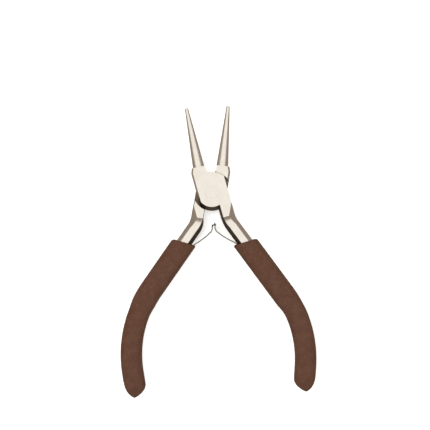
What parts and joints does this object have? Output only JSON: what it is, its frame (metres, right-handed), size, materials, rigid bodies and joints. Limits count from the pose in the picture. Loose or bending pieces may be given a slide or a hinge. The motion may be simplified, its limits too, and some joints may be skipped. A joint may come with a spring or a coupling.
{
  "type": "round nose pliers",
  "caption": "Small lap-joint jewellery pliers with round tapered jaws, hooked leaf springs and dipped, curved grips.",
  "frame": {"origin": "on the pivot's axis, on the flat back face of the joint", "axes": "+Y from the pivot towards the jaws, halfway between them; +Z through the thickness, from the back face to the front face; +X to the right lever's jaw"},
  "size_m": [0.0858, 0.1272, 0.009],
  "materials": {
    "lever_steel": "ground flat faces and turned cones, satin nickel-plated carbon steel",
    "rivet_steel": "ground flush",
    "spring_steel": "rolled spring strip, grey",
    "grip_vinyl": "matte dipped vinyl, brown"
  },
  "bodies": {
    "rear_half": {"rear_lever": "lever_steel", "pivot_rivet": "rivet_steel", "spring_rivet_left": "rivet_steel", "grip_left": "grip_vinyl"},
    "front_half": {"front_lever": "lever_steel", "spring_rivet_right": "rivet_steel", "grip_right": "grip_vinyl"},
    "leaf_left": {"spring_leaf_left": "spring_steel"},
    "leaf_right": {"spring_leaf_right": "spring_steel"}
  },
  "joints": [
    {"name": "jaw_pivot", "type": "hinge", "parent": "rear_half", "child": "front_half", "pos_m": [0, 0, 0.0045], "axis": [0, 0, 1], "range_deg": [-25.1, 3], "stiffness_Nm_per_rad": 0.4},
    {"name": "leaf_left_flex", "type": "hinge", "parent": "rear_half", "child": "leaf_left", "pos_m": [-0.00869, -0.0222, 0.0045], "axis": [0, 0, 1], "range_deg": [-3, 20], "deforming": ["spring_leaf_left"]},
    {"name": "leaf_right_flex", "type": "hinge", "parent": "front_half", "child": "leaf_right", "pos_m": [0.00756, -0.02155, 0.0045], "axis": [0, 0, 1], "range_deg": [-20, 3], "deforming": ["spring_leaf_right"]}
  ],
  "couplings": [
    {"joint": "leaf_left_flex", "follows": "jaw_pivot", "ratio": -0.684},
    {"joint": "leaf_right_flex", "follows": "jaw_pivot", "ratio": 0.754}
  ]
}
